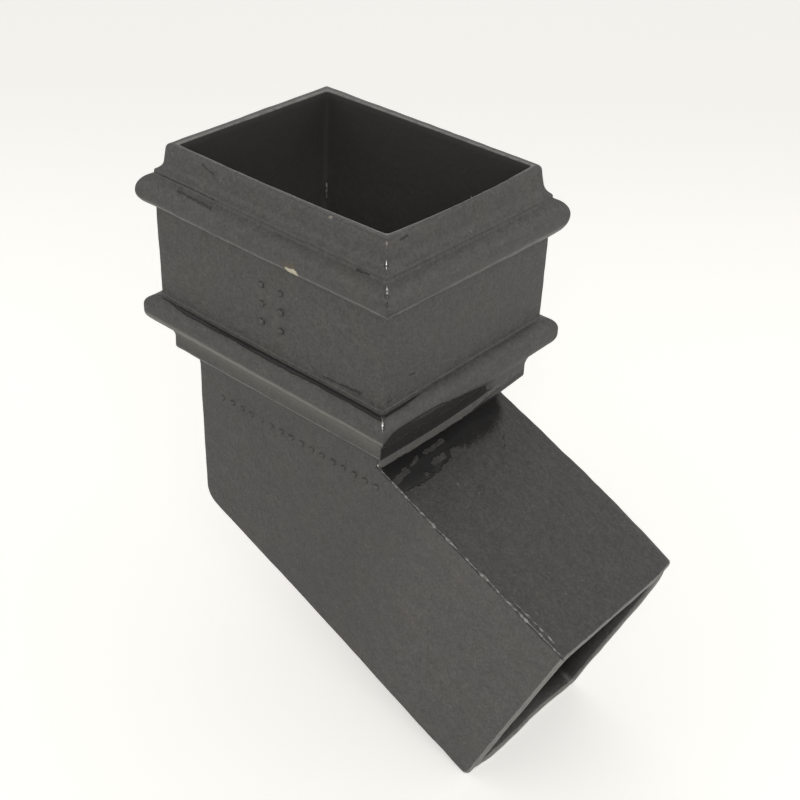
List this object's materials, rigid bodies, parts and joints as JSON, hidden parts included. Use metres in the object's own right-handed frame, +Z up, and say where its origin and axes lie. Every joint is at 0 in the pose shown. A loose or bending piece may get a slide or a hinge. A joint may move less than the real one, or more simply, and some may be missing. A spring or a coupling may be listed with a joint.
{
  "type": "downpipe bend",
  "caption": "Rectangular cast iron downpipe bend: a moulded socket on top and a square-cut spigot that leaves it at an angle, open right through.",
  "frame": {"origin": "centre of the socket's seat, the inner shoulder that the end of the pipe above stands on", "axes": "+Z up the socket's axis and out of its mouth, +X the way the spigot leans, +Y across the bend, which is the same on both sides of the XZ plane"},
  "size_m": [0.2072, 0.1056, 0.231],
  "materials": {
    "painted_iron": "black satin paint on as-cast iron"
  },
  "bodies": {
    "root": {"bend_casting": "painted_iron"}
  },
  "joints": []
}
